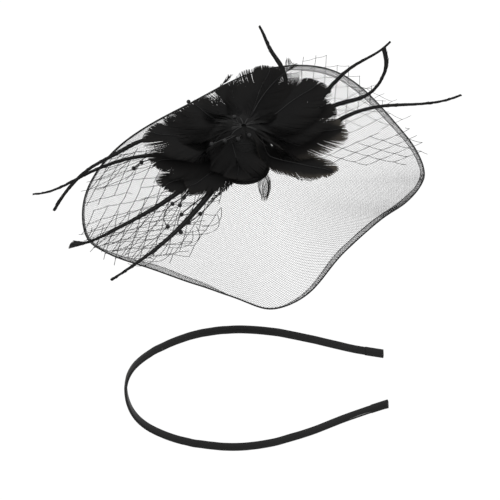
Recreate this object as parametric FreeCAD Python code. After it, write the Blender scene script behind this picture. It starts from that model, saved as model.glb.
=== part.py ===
import FreeCAD, Part
import math
import os

# A fascinator: a wavy round brim of fine mesh, veiling, a rosette of feathers with long quills
# and beaded stamens, sewn between two felt pads over a sprung clip. The loose headband that the
# clip bites on lies below it.
# Millimetres. +Z is up out of the pads, -Y to the front, +X to the right seen from the front.
# The origin is the middle of the lower pad's underside, where the clip grips.

V = FreeCAD.Vector
os.makedirs("parts", exist_ok=True)

# ---------------------------------------------------------------- driving dimensions
pad_radius = 14.0
pad_thickness = 1.5

brim_half_width = 92.6        # along X
brim_half_depth = 97.0        # along Y
brim_middle = (4.5, -15.0)    # the brim's middle, seen from the pads
mesh_thickness = 0.8
hem_width = 5.5
hem_thickness = 1.0
wire_width = 0.9
wire_thickness = 0.9

# The rim's wave: (degrees round the brim's middle, height over the brim's seat)
rim_wave = [(-165, -15.5), (-145, 0.2), (-125, 12.1), (-107, 12.4), (-95, 7), (-84, -0.8),
            (-72, 5.9), (-60, 26.6), (-45, 35.6), (-30, 30.2), (-15, 21.6), (0, 9.8), (15, 2.7),
            (32, 0.4), (60, 9.5), (85, 0.7), (115, -20), (150, -23), (178, -19.5)]
rim_curl = 1.7                # how late towards the rim the brim starts to bend

veil_thickness = 0.5
veil_lift = 0.15              # gap between what lies on the brim and the veils
veil_billow = 1.5             # how far a veil stands off the brim between its root and its edge
shortest_veil = 60.0          # from root to edge
pad_margin = 8.0              # past the pads' edge, where the veils are still level
pad_fade = 14.0               # run over which the veils come down off the pads' edge
layer_gap = 0.3               # gap between the layers over the veils

core_radius = 9.0
core_height = 25.0            # over the upper pad
core_cap = 3.0                # height of its coned top
core_cap_inset = 4.0
grip_depth = 2.0              # how deep in the core a quill's or a wire's line starts
petal_thickness = 0.7
petal_step = 1.3              # from one broad feather's root to the next
petal_root_radius = 7.0
petal_room = 2.0              # room for the quills to rise under the broad feathers
petal_rise_at = 50.0          # distance out at which a broad feather has risen by its rise
petal_root_width = 0.3        # least share of its half width, at its root
petal_tip_width = 0.2         # and at its tip
leaf_start = 0.08             # where its outline starts on a half wave
leaf_run = 0.84               # how much of the half wave it takes
leaf_lean = 0.9               # under 1 puts its widest place nearer the root
leaf_fullness = 0.8           # under 1 keeps it wide for longer
quill_thickness = 0.6
quill_tip = 0.4               # half width of a quill's tip
quill_taper = 1.5             # over 1 keeps it wide for longer

bead_diameter = 2.4
bead_wire = 0.45
heart_root = 0.22             # a heart wire's start, as a share of its bead's distance out
heart_sink = 1.0              # how deep in the core it starts

clip_width = 8.0
clip_front = 9.0              # mouth, ahead of the pads' middle
clip_back = 29.0
clip_steel = 0.8
hinge_back = 18.0             # the pin, behind the pads' middle
hinge_drop = 4.2              # the pin, under the pads
pin_diameter = 1.6
pin_clearance = 0.05          # radial, pin in the jaw's knuckles
side_clearance = 0.25
mouth_gap = 0.35              # between the closed jaws, as with the felt's nap between them
jaw_slot = 2.4                # between the jaw's two prongs
tab_drop = 9.5
spring_wire = 0.5
spring_half_length = 1.5      # of the coil, along the pin
stitch_wire = 0.7

band_length = 150.0           # crown to tips
band_half_width = 49.7        # at its widest, to the strip's middle
band_tip_half_width = 21.6
band_widest_at = 0.43         # share of its length from the crown
strip_width = 5.5
strip_thickness = 1.6
cover_thickness = 0.3
band_lean = 1.5               # degrees that the band leans about X
band_tilt = 5.7               # degrees that its open end is turned up
band_crown = -68.0            # where the crown lies along X
band_drop = 107.6             # the upper leg's highest point, under the pads
band_reach = 16.0             # that point, ahead of the pads' middle


def export(name, shape):
    """Writes one node and says how many solids it has."""
    shape.exportStep("parts/" + name + ".step")
    print(name, "solids", len(shape.Solids), "valid", shape.isValid(), "mm3", round(shape.Volume, 1))


# ---------------------------------------------------------------- curves and surfaces
def around(points, degrees):
    """A smooth closed curve of height against degrees, through the points."""
    count = len(points)
    angles = [p[0] for p in points]
    turn = angles[0] + (degrees - angles[0]) % 360.0
    k = max(i for i in range(count) if angles[i] <= turn)

    def at(i):
        wraps, place = divmod(i, count)
        return angles[place] + 360.0 * wraps, points[place][1]

    (a0, h0), (a1, h1), (a2, h2), (a3, h3) = at(k - 1), at(k), at(k + 1), at(k + 2)
    t = (turn - a1) / (a2 - a1)
    slope1 = (h2 - h0) / (a2 - a0) * (a2 - a1)
    slope2 = (h3 - h1) / (a3 - a1) * (a2 - a1)
    return (h1 * (2 * t ** 3 - 3 * t ** 2 + 1) + slope1 * (t ** 3 - 2 * t ** 2 + t)
            + h2 * (3 * t ** 2 - 2 * t ** 3) + slope2 * (t ** 3 - t ** 2))


def rim_point(x, y):
    """How far out (x, y) is, 1 at the rim, and the rim's degrees in that direction."""
    reach = max(math.hypot(x, y), 1e-6)
    ux, uy = x / reach / brim_half_width, y / reach / brim_half_depth
    cx, cy = brim_middle[0] / brim_half_width, brim_middle[1] / brim_half_depth
    a, b, c = ux * ux + uy * uy, ux * cx + uy * cy, cx * cx + cy * cy - 1.0
    rim = (b + math.sqrt(b * b - a * c)) / a
    degrees = math.degrees(math.atan2(rim * uy - cy, rim * ux - cx))
    return reach / rim, degrees, rim


seat = pad_thickness          # the brim's underside at the pads


def brim_height(x, y):
    """The brim's underside: flat at the pads, bending towards the wavy rim."""
    share, degrees, rim = rim_point(x, y)
    start = (pad_radius + 2.0) / rim
    if share <= start:
        return seat
    t = (share - start) / (1.0 - start)
    return seat + around(rim_wave, degrees) * t ** rim_curl


def surface(rows):
    face = Part.BSplineSurface()
    face.interpolate(rows)
    return face.toShape()


def slab(face, lift, thickness):
    lower = face.copy()
    lower.translate(V(0, 0, lift))
    return lower.extrude(V(0, 0, thickness))


grid_reach = 112.0
grid_step = 8.0
steps = int(2 * grid_reach / grid_step)
brim_face = surface([[V(brim_middle[0] + (i - steps / 2) * grid_step,
                        brim_middle[1] + (j - steps / 2) * grid_step,
                        brim_height(brim_middle[0] + (i - steps / 2) * grid_step,
                                    brim_middle[1] + (j - steps / 2) * grid_step))
                      for j in range(steps + 1)] for i in range(steps + 1)])


def plan(inset):
    """An upright prism on the brim's outline, inset from it."""
    ellipse = Part.Ellipse(V(0, 0, 0), brim_half_depth - inset, brim_half_width - inset)
    disc = Part.Face(Part.Wire(ellipse.toShape()))
    disc.rotate(V(0, 0, 0), V(0, 0, 1), 90)
    disc.translate(V(brim_middle[0], brim_middle[1], -120))
    return disc.extrude(V(0, 0, 260))


def ring(outer_inset, inner_inset):
    return plan(outer_inset).cut(plan(inner_inset))


# ---------------------------------------------------------------- brim and pads
def brim_mesh():
    sheet = slab(brim_face, 0, mesh_thickness).common(plan(wire_width))
    return sheet.cut(lower_pad()).cut(upper_pad())


def brim_hem():
    return slab(brim_face, -hem_thickness, hem_thickness).common(ring(0, hem_width))


def brim_wire():
    return slab(brim_face, 0, wire_thickness).common(ring(0, wire_width))


def lower_pad():
    return Part.makeCylinder(pad_radius, pad_thickness)


pads_top = seat + mesh_thickness + pad_thickness


def upper_pad():
    return Part.makeCylinder(pad_radius, pad_thickness, V(0, 0, seat + mesh_thickness))


def rosette_core():
    """The wound and glued stub that the feathers and wires are set in."""
    shoulder = core_height - core_cap
    stub = Part.makeCylinder(core_radius, shoulder, V(0, 0, pads_top))
    cap = Part.makeCone(core_radius, core_radius - core_cap_inset, core_cap,
                        V(0, 0, pads_top + shoulder))
    return stub.fuse(cap).removeSplitter()


# ---------------------------------------------------------------- veils
veil_root_radius = core_radius + 1.0


def over_brim(x, y):
    """Just over the brim's top, and just over the upper pad near the middle."""
    past_pad = max(0.0, math.hypot(x, y) - pad_radius - pad_margin)
    fade = max(0.0, 1.0 - past_pad / pad_fade)
    rise = (pad_thickness + veil_lift) * fade ** 2 + 4 * veil_lift * (1 - fade)
    return brim_height(x, y) + mesh_thickness + rise


def over_veils(x, y, lift):
    """A place that clears every veil by the lift."""
    share = min(0.5, (math.hypot(x, y) - veil_root_radius) / shortest_veil)
    swell = veil_billow * math.sin(math.pi * share)
    return x, y, over_brim(x, y) + swell + veil_thickness + lift


def veil(first, last, reaches):
    """A fan of netting from first to last degrees about the pads, reaching out by each of
    reaches, evenly spaced round it."""
    rows = []
    count = len(reaches)
    for i in range(7):
        share = i / 6.0
        row = []
        for j in range(count):
            turn = math.radians(first + (last - first) * j / (count - 1.0))
            out = veil_root_radius + (reaches[j] - veil_root_radius) * share
            x, y = out * math.cos(turn), out * math.sin(turn)
            swell = veil_billow * math.sin(math.pi * share)
            row.append(V(x, y, over_brim(x, y) + swell))
        rows.append(row)
    return surface(rows).extrude(V(0, 0, veil_thickness))


# name: first and last degrees, reaches
veils = {
    "veil_upper_left": (158, 196, [70, 88, 92, 96, 92]),
    "veil_lower_left": (200, 254, [90, 100, 102, 97, 64]),
    "veil_right": (-8, 18, [90, 94, 98, 100, 98]),
    "veil_upper_right": (24, 66, [92, 98, 102, 104, 98]),
}

# ---------------------------------------------------------------- feathers
stack_floor = pads_top + veil_lift + veil_thickness + layer_gap   # over the veils' roots
wire_layer = stack_floor
quill_layer = wire_layer + bead_wire + layer_gap
petal_floor = quill_layer + 2 * (quill_thickness + layer_gap) + petal_room


def petal(level, tip, bulge, half_width, rise):
    """A broad feather: a leaf-shaped sheet on its own level of the rosette, which has risen by
    rise where it is petal_rise_at out. The bulge pushes its middle sideways."""
    turn = math.atan2(tip[1], tip[0])
    root = V(petal_root_radius * math.cos(turn), petal_root_radius * math.sin(turn), 0)
    end = V(tip[0], tip[1], 0)
    side = V(-math.sin(turn), math.cos(turn), 0)
    middle = (root + end) * 0.5 + side * bulge * 2.0
    rows = []
    for i in range(9):
        s = i / 8.0
        spine = root * (1 - s) ** 2 + middle * 2 * s * (1 - s) + end * s * s
        along = (middle - root) * (1 - s) + (end - middle) * s
        across = V(-along.y, along.x, 0).normalize()
        wave = leaf_start + leaf_run * s ** leaf_lean
        least = petal_tip_width if s > 0.5 else petal_root_width
        width = half_width * max(math.sin(math.pi * wave) ** leaf_fullness, least)
        row = []
        for j in range(5):
            place = spine + across * width * (j - 2) / 2.0
            out = math.hypot(place.x, place.y) / petal_rise_at
            row.append(V(place.x, place.y, petal_floor + level * petal_step + rise * out ** 2))
        rows.append(row)
    sheet = surface(rows).extrude(V(0, 0, petal_thickness))
    return sheet.cut(core)


# name: level, tip, bulge, half width, rise; the levels rise round the rosette so that no two
# feathers meet
petals = {
    "petal_left_low": (0, (-43, -22), 2, 11, 0.0),
    "petal_front_low": (1, (-26, -29), -2, 12, 0.3),
    "petal_left": (2, (-47, -6), 2, 13, 0.6),
    "petal_right_low": (3, (48, -17), -2, 13, 1.0),
    "petal_front": (4, (-5, -25.5), 0, 15, 1.5),
    "petal_right": (5, (55, 9), 2, 13, 2.0),
    "petal_left_upper": (6, (-50, 3), -2, 12, 2.5),
    "petal_left_back": (7, (-35, 18), -2, 13, 3.5),
    "petal_back_left": (8, (-23, 28), 2, 13, 5.0),
    "petal_right_upper": (9, (45, 16), 3, 15, 6.5),
    "petal_back": (10, (-3, 36), 2, 14, 8.0),
    "petal_right_back": (11, (42, 28), 3, 15, 9.0),
    "petal_back_right": (12, (18, 42), 3, 14, 9.5),
    "petal_back_curled": (13, (29, 42), 6, 9, 10.0),
}


def ribbon(points, half_width, thickness, tip_half_width=None):
    """A narrow strip along a smooth line through the points, tapering to its tip."""
    line = Part.BSplineCurve()
    line.interpolate([V(*p) for p in points])
    tip = half_width if tip_half_width is None else tip_half_width
    rows = []
    first, last = line.FirstParameter, line.LastParameter
    for i in range(17):
        s = i / 16.0
        at = line.value(first + (last - first) * s)
        along = line.tangent(first + (last - first) * s)[0]
        across = V(-along.y, along.x, 0).normalize()
        width = half_width + (tip - half_width) * s ** quill_taper
        rows.append([at - across * width, at + across * width])
    face = Part.BSplineSurface()
    face.interpolate(rows)
    return face.toShape().extrude(V(0, 0, thickness))


def rooted(height, points):
    """A route that leaves the core at a height, towards its first point."""
    x, y, _ = points[0]
    out = math.hypot(x, y)
    grip = core_radius - grip_depth
    return [(x / out * grip, y / out * grip, height)] + list(points)


# name: level over the quills' layer, half width, then points to the tip
quills = {
    "quill_left_upper": (0.9, 1.0, [(-30, 9, 7.8), (-51, 14, 8.8), (-69, 1, 9.2), (-84, -7, 5),
                                    (-94, -16, 0), (-103, -28, -8)]),
    "quill_left_long": (0.0, 1.0, [(-30, 2, 7.4), (-51, 2, 7.2), (-73, -3, 5), (-89, -7, -1),
                                   (-106, -11, -8), (-116, -8, -12)]),
    "quill_left_lower": (0.0, 1.1, [(-24, -15, 7.0), (-35, -29, 8), (-50, -45, 9),
                                    (-70, -62, 9.5), (-83, -69, 8), (-95, -62, 2)]),
    "quill_front_left": (0.9, 1.1, [(-12, -18, 7.2), (-18, -31, 9), (-31, -58, 12.5),
                                    (-43, -80, 17), (-55, -97, 20), (-69, -112, 21)]),
    "quill_right_back": (0.0, 1.2, [(28, 22, 7.4), (46, 44, 18), (55, 49, 26), (62, 51, 31),
                                    (69, 52, 35), (81, 57, 43)]),
    "quill_right_upper": (0.9, 1.2, [(29, 17, 8.0), (51, 39, 12), (67, 39, 18), (74, 41, 25),
                                     (78, 45, 35), (75, 55, 42)]),
    "quill_right": (0.0, 1.1, [(30, 9, 7.2), (55, 27, 13), (73, 30, 18), (85, 29, 20),
                               (101, 28, 22), (120, 35, 23)]),
    "quill_back": (0.0, 1.0, [(12, 22, 7.2), (21, 60, 21), (14, 67, 29), (11, 71, 35),
                              (8, 73, 41)]),
}

# Small feathers round the rosette: half width, then points to the tip as places over the veils
small_feathers = {
    "speckled_tuft": (1.8, [(-4.5, -15, 1.3), (-10.5, -25, 1.4), (-19, -38, 1.4)]),
    "downy_feather": (2.0, [(11, -13, 0.5), (13, -22, 0.5), (11, -33, 0.5)]),
    "bristle_feather": (0.8, [(18, -7, 1.4), (26, -15, 1.6), (37, -22, 1.8)]),
    "curled_barb": (0.5, [(-6, 24, 0.6), (-12, 36, 7), (-14, 42, 17), (-11, 45, 22), (-6, 46, 25)]),
}


# ---------------------------------------------------------------- beaded stamens
bead_rest = bead_diameter / 2.0 + layer_gap     # a bead's middle over the veils
wire_lift = 0.4                # over the veils, between its root and its beads
wire_knees = (18.0, 32.0)   # where a wire lies close on the veils

# each wire's beads from the nearest out: X, Y and how far it stands over its rest
sprays = {
    "front": [[(-32, -31, 0), (-34, -38, 0)], [(-33, -47, 0), (-33, -65, 0.5)],
              [(-23, -47, 0), (-29, -56, 0.5)], [(-38, -36, 0), (-40, -59, 0.5)]],
    "left": [[(-56, 7, 0), (-60, 2, 1)]],
    "back": [[(-29, 50, 2), (-31, 58, 5)]],
}
# the beads in the heart of the rosette: X, Y and the height over the core's top
heart = [(-17, -17, 3), (-10, -15, 3.5), (-3, -14, 4), (3, -11, 4), (-5, 3, 5)]


def bead(point):
    return Part.makeSphere(bead_diameter / 2.0, V(*point))


def split(shapes):
    """One compound of all the solids of the shapes."""
    return Part.makeCompound([solid for shape in shapes for solid in shape.Solids])


def spray(strings):
    """The beads and the wires of one spray; the wire between two beads ends in their faces."""
    beads = []
    wires = []
    for string in strings:
        places = [over_veils(x, y, bead_rest + lift) for x, y, lift in string]
        x, y, _ = places[0]
        out = math.hypot(x, y)
        knees = [over_veils(x / out * r, y / out * r, wire_lift) for r in wire_knees]
        threads = [(p[0], p[1], p[2] - bead_wire / 2.0) for p in places]
        route = rooted(wire_layer, knees + threads)
        wires.append(ribbon(route, bead_wire / 2.0, bead_wire))
        beads += [bead(place) for place in places]
    wires = [wire.cut([core] + beads) for wire in wires]
    return split(beads), split(wires)


def heart_spray():
    """The beads in the heart of the rosette, each on a wire out of the core's top."""
    top = pads_top + core_height
    beads = []
    wires = []
    for x, y, height in heart:
        start = V(x * heart_root, y * heart_root, top - heart_sink)
        end = V(x, y, top + height)
        wire = Part.makeCylinder(bead_wire / 2.0, (end - start).Length, start, end - start)
        wires.append(wire.cut(bead(end)).cut(core))
        beads.append(bead(end))
    return split(beads), split(wires)


# ---------------------------------------------------------------- the clip
def box(x0, x1, y0, y1, z0, z1):
    return Part.makeBox(x1 - x0, y1 - y0, z1 - z0, V(x0, y0, z0))


def along_x(diameter, x0, x1, y, z):
    return Part.makeCylinder(diameter / 2.0, x1 - x0, V(x0, y, z), V(1, 0, 0))


hinge = (hinge_back, -hinge_drop)
knuckle = pin_diameter + 2 * clip_steel
bore = pin_diameter + 2 * pin_clearance
spring_outer = bore + 2 * spring_wire
spring_room = spring_outer / 2.0 + side_clearance
ear_inner = clip_width / 2.0 - clip_steel
jaw_inner = ear_inner - side_clearance


def clip_pin():
    return along_x(pin_diameter, -clip_width / 2.0, clip_width / 2.0, *hinge)


def clip_base():
    """The plate under the pad, with two ears that carry the pin."""
    plate = box(-clip_width / 2, clip_width / 2, -clip_front, clip_back, -clip_steel, 0)
    ears = []
    for x0 in (-clip_width / 2, ear_inner):
        ear = box(x0, x0 + clip_steel, hinge[0] - knuckle / 2, hinge[0] + knuckle / 2, hinge[1],
                  -clip_steel)
        ears.append(ear.fuse(along_x(knuckle, x0, x0 + clip_steel, *hinge)))
    body = plate.fuse(ears[0]).fuse(ears[1]).cut(clip_pin())
    for x, y in stitch_places:
        body = body.cut(stitch_hole(x, y))
    return body.removeSplitter()


stitch_places = [(-2.2, -6.0), (2.2, -6.0), (-2.2, 2.0), (2.2, 2.0), (-2.2, 10.0), (2.2, 10.0)]


def stitch_hole(x, y):
    return Part.makeCylinder(stitch_wire / 2.0 + 0.1, clip_steel + 2.0, V(x, y, -clip_steel - 1.0))


def clip_stitches():
    """Thread bars over the plate's edge holes, three across the plate."""
    bars = []
    for k in range(0, len(stitch_places), 2):
        (x0, y), (x1, _) = stitch_places[k], stitch_places[k + 1]
        bar = box(x0 - stitch_wire / 2, x1 + stitch_wire / 2, y - stitch_wire / 2,
                  y + stitch_wire / 2, -clip_steel - stitch_wire / 2, -clip_steel)
        for x in (x0, x1):
            leg = Part.makeCylinder(stitch_wire / 2.0, clip_steel, V(x, y, -clip_steel))
            bar = bar.fuse(leg)
        bars.append(bar.removeSplitter())
    return Part.makeCompound(bars)


def clip_jaw():
    """The forked lower jaw: two prongs to the mouth, knuckles on the pin and a thumb tab."""
    front = -clip_front
    lip = -clip_steel - stitch_wire / 2.0 - mouth_gap
    low = hinge[1] - knuckle / 2.0
    outline = [V(0, hinge[0], low), V(0, front, lip - clip_steel), V(0, front, lip),
               V(0, hinge[0], low + clip_steel)]
    blade = Part.Face(Part.makePolygon(outline + [outline[0]])).extrude(V(2 * jaw_inner, 0, 0))
    blade.translate(V(-jaw_inner, 0, 0))
    root = hinge[0] - 9.0
    blade = blade.cut(box(-jaw_slot / 2, jaw_slot / 2, front - 1, root, -20, 1))
    tab_outline = [V(0, hinge[0], low), V(0, hinge[0], low + clip_steel),
                   V(0, clip_back, -tab_drop), V(0, clip_back, -tab_drop - clip_steel)]
    tab = Part.Face(Part.makePolygon(tab_outline + [tab_outline[0]])).extrude(V(2 * jaw_inner, 0, 0))
    tab.translate(V(-jaw_inner, 0, 0))
    knuckles = []
    for x0 in (-jaw_inner, jaw_inner - clip_steel):
        wall = box(x0, x0 + clip_steel, hinge[0] - knuckle / 2, hinge[0] + knuckle / 2, low,
                   hinge[1])
        knuckles.append(wall.fuse(along_x(knuckle, x0, x0 + clip_steel, *hinge)))
    body = blade.fuse(tab).fuse(knuckles[0]).fuse(knuckles[1])
    room = box(-jaw_inner + clip_steel, jaw_inner - clip_steel, hinge[0] - spring_room,
               hinge[0] + spring_room, low - 1, 1)
    return body.cut(along_x(bore, -clip_width, clip_width, *hinge)).cut(room).removeSplitter()


def clip_spring():
    """The torsion spring: a coil on the pin, a leg up to the plate and a leg down to the tab."""
    half = spring_half_length
    coil = along_x(spring_outer, -half, half, *hinge)
    reach = spring_outer / 2.0 - spring_wire / 2.0
    up = box(-half, -half + spring_wire, hinge[0] + reach - spring_wire / 2,
             hinge[0] + reach + spring_wire / 2, hinge[1], -clip_steel - pin_clearance)
    leg_x = half - spring_wire
    start = V(leg_x, hinge[0] + reach - 0.1, hinge[1])
    end_y = clip_back - 3.0
    low = hinge[1] - knuckle / 2.0
    slope = (-tab_drop - low - clip_steel) / (clip_back - hinge[0])
    end = V(leg_x, end_y, low + clip_steel + slope * (end_y - hinge[0]) + spring_wire)
    run = end - start
    down = Part.makeCylinder(spring_wire / 2.0, run.Length, start, run)
    bored = coil.fuse(up).fuse(down)
    return bored.cut(along_x(bore, -clip_width, clip_width, *hinge)).removeSplitter()


# ---------------------------------------------------------------- the headband
def band_line():
    """The strip's middle line in its own plane, crown at the origin, legs along +X."""
    shape = [(0.0, 0.0), (0.035, 0.437), (0.13, 0.725), (0.27, 0.927), (band_widest_at, 1.0),
             (0.56, 0.944), (0.72, 0.77), (0.86, 0.576)]
    leg = [V(p * band_length, q * band_half_width, 0) for p, q in shape]
    leg.append(V(band_length, band_tip_half_width, 0))
    other = [V(p.x, -p.y, 0) for p in leg[:0:-1]]
    line = Part.BSplineCurve()
    line.interpolate(other + leg)
    return line


def strip(line, inner, outer, half_width):
    """A bent strip: from inner to outer off the line, half_width to each side of its plane."""
    first, last = line.FirstParameter, line.LastParameter
    inside = []
    outside = []
    for i in range(61):
        s = first + (last - first) * i / 60.0
        at = line.value(s)
        along = line.tangent(s)[0]
        off = V(along.y, -along.x, 0)
        inside.append(at + off * inner)
        outside.append(at + off * outer)
    a = Part.BSplineCurve()
    a.interpolate(inside)
    b = Part.BSplineCurve()
    b.interpolate(outside)
    ends = [Part.makeLine(inside[0], outside[0]), Part.makeLine(inside[-1], outside[-1])]
    wire = Part.Wire(Part.__sortEdges__([a.toShape(), ends[1], b.toShape(), ends[0]]))
    face = Part.Face(wire)
    face.translate(V(0, 0, -half_width))
    return face.extrude(V(0, 0, 2 * half_width))


def placed(shape):
    """Stands the band's plane up, leans and tilts it, and hangs it under the clip."""
    top = V(band_widest_at * band_length, band_half_width, 0)
    moved = shape.copy()
    moved.rotate(V(0, 0, 0), V(0, 0, 1), band_tilt)
    tilt = math.radians(band_tilt)
    highest = top.x * math.sin(tilt) + top.y * math.cos(tilt)
    moved.translate(V(band_crown, -highest, 0))
    moved.rotate(V(0, 0, 0), V(1, 0, 0), 90 + band_lean)
    moved.translate(V(0, -band_reach, -band_drop))
    return moved


def headband():
    line = band_line()
    half = strip_thickness / 2.0
    side = strip_width / 2.0
    core_strip = strip(line, -half + cover_thickness, half - cover_thickness,
                       side - cover_thickness)
    around_it = strip(line, -half, half, side)
    cover = around_it.cut(core_strip)
    first, last = line.FirstParameter, line.LastParameter
    caps = []
    for s, way in ((first, -1.0), (last, 1.0)):
        at = line.value(s)
        along = line.tangent(s)[0] * way
        cap = Part.makeBox(2 * cover_thickness, strip_thickness, strip_width,
                           V(0, -half, -side))
        cap.rotate(V(0, 0, 0), V(0, 0, 1), math.degrees(math.atan2(along.y, along.x)))
        cap.translate(at)
        caps.append(cap)
    return placed(core_strip), placed(cover), placed(Part.makeCompound(caps))


# ---------------------------------------------------------------- the nodes
core = rosette_core()
export("brim_mesh", brim_mesh())
export("brim_hem", brim_hem())
export("brim_wire", brim_wire())
export("lower_felt_pad", lower_pad())
export("upper_felt_pad", upper_pad())
export("rosette_core", core)
for name, (first, last, reaches) in veils.items():
    export(name, veil(first, last, reaches))
for name, (level, tip, bulge, half_width, rise) in petals.items():
    export(name, petal(level, tip, bulge, half_width, rise))
for name, (level, half_width, points) in quills.items():
    route = rooted(quill_layer + level, points)
    export(name, ribbon(route, half_width, quill_thickness, quill_tip).cut(core))
for name, (half_width, points) in small_feathers.items():
    route = rooted(quill_layer, [over_veils(*point) for point in points])
    export(name, ribbon(route, half_width, quill_thickness, quill_tip).cut(core))
for name, strings in sprays.items():
    beads, wires = spray(strings)
    export("beads_" + name, beads)
    export("bead_wires_" + name, wires)
beads, wires = heart_spray()
export("beads_heart", beads)
export("bead_wires_heart", wires)
export("clip_base", clip_base())
export("clip_jaw", clip_jaw())
export("clip_pin", clip_pin())
export("clip_spring", clip_spring())
export("clip_stitches", clip_stitches())
band_core, band_cover, band_ends = headband()
export("headband_core", band_core)
export("headband_cover", band_cover)
export("headband_end_wraps", band_ends)
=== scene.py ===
# %% [markdown]
# # A fascinator in Blender
# A fascinator is a light headpiece: a round brim of open mesh, a flower of dyed feathers with
# netting and beaded wires under it, and a clip or headband that holds it on the head. Nearly all
# of it is thread, wire and feather, so this lesson is about making fine things out of real
# geometry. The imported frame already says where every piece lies. Each piece below reads its
# place from the frame's node and then stands for that node.

# %% The frame
import math
import random

import bpy
import numpy as np
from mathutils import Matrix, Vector
from mathutils.bvhtree import BVHTree


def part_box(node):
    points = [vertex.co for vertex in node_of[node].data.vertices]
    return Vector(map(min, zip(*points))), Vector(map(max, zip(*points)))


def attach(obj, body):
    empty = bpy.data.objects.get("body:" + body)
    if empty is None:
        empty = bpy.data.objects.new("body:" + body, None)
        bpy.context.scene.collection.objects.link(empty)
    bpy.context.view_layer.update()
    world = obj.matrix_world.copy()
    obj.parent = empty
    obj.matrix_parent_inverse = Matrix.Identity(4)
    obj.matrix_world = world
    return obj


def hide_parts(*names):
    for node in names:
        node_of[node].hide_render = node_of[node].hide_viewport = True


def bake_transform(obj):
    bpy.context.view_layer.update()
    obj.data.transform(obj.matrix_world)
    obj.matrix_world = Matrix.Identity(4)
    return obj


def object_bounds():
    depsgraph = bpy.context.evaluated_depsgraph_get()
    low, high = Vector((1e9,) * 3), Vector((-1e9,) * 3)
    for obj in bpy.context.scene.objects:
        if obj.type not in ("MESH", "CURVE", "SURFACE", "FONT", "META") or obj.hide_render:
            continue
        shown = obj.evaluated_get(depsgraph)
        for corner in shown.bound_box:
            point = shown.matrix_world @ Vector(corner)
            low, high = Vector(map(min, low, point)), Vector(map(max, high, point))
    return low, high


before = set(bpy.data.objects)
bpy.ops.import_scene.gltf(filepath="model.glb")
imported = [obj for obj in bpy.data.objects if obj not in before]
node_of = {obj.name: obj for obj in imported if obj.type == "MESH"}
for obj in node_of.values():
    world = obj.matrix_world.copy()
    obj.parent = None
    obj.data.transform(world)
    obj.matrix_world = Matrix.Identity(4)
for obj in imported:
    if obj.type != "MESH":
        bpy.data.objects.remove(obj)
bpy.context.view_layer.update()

mm = 0.001
bpy.ops.object.select_all(action="DESELECT")

# %% [markdown]
# ## Reading shapes off the frame
# A frame node is a mesh of loose triangles. Two readings are enough for everything here: the
# height of a node over a point of the plan, by a ray cast straight down, and the spine of a long
# thin node, by cutting it with planes across its length.

# %% Heights and spines
DOWN = Vector((0, 0, -1))


def corners_of(node):
    """The points and the triangles of a node."""
    mesh = node_of[node].data
    mesh.calc_loop_triangles()
    points = np.array([v.co for v in mesh.vertices])
    return points, np.array([t.vertices for t in mesh.loop_triangles])


def tree_over(*nodes):
    """One tree to cast rays at, made of several nodes."""
    points, faces = [], []
    for node in nodes:
        p, t = corners_of(node)
        faces += (t + len(points)).tolist()
        points += p.tolist()
    return BVHTree.FromPolygons(points, faces)


def height(tree, x, y):
    """The top of a tree's surface over (x, y), or None beside it."""
    hit = tree.ray_cast(Vector((x, y, 1.0)), DOWN)[0]
    return None if hit is None else hit.z


def spine_of(node, stations=14):
    """The middle line of a long node, root first, and its half width at each station."""
    points, triangles = corners_of(node)
    out = np.hypot(points[:, 0], points[:, 1])
    root, tip = points[out.argmin()], points[out.argmax()]
    way = (tip - root) / np.linalg.norm(tip - root)
    side = np.cross((0, 0, 1), way)
    side /= np.linalg.norm(side)
    along = points @ way
    edges = np.unique(np.sort(np.concatenate([triangles[:, [0, 1]], triangles[:, [1, 2]],
                                              triangles[:, [2, 0]]]), axis=1), axis=0)
    line, widths = [], []
    for share in np.linspace(0.015, 0.985, stations):
        cut = along.min() + (along.max() - along.min()) * share
        a, b = points[edges[:, 0]], points[edges[:, 1]]
        da, db = along[edges[:, 0]] - cut, along[edges[:, 1]] - cut
        crossing = da * db < 0
        t = (da[crossing] / (da[crossing] - db[crossing]))[:, None]
        at = a[crossing] + (b[crossing] - a[crossing]) * t
        across = at @ side
        line.append((at[across.argmin()] + at[across.argmax()]) / 2)
        widths.append((across.max() - across.min()) / 2)
    return np.array(line), np.array(widths)


def resample(line, values, count):
    """The line and its values at count places evenly along it."""
    steps = np.linalg.norm(np.diff(line, axis=0), axis=1)
    run = np.concatenate([[0], np.cumsum(steps)])
    places = np.linspace(0, run[-1], count)
    smooth = np.stack([np.interp(places, run, line[:, k]) for k in range(3)], axis=1)
    return smooth, np.interp(places, run, values), run[-1]


def softened(line, rounds=3):
    """The line with its corners eased; its ends stay."""
    for _ in range(rounds):
        line = line.copy()
        line[1:-1] = (line[:-2] + 2 * line[1:-1] + line[2:]) / 4
    return line


brim_low, brim_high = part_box("brim_hem")
brim_middle = ((brim_low[0] + brim_high[0]) / 2, (brim_low[1] + brim_high[1]) / 2)
brim_half = ((brim_high[0] - brim_low[0]) / 2, (brim_high[1] - brim_low[1]) / 2)
brim_tree = tree_over("brim_mesh", "brim_wire")
print("brim", [round(v / mm, 1) for v in brim_half], "half sizes in mm")


def brim_top(x, y):
    """The brim's upper face over (x, y), and over its nearest point past the rim."""
    for share in (1.0, 0.995, 0.99, 0.98, 0.96, 0.93, 0.9, 0.86, 0.8, 0.7):
        z = height(brim_tree, brim_middle[0] + (x - brim_middle[0]) * share,
                   brim_middle[1] + (y - brim_middle[1]) * share)
        if z is not None:
            return z
    return 0.0

# %% [markdown]
# ## Shader maths
# A wrapped socket lets a mask be written as it is thought, such as `1 - edge * 0.3`. Each
# expression adds its own Math nodes.

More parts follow.
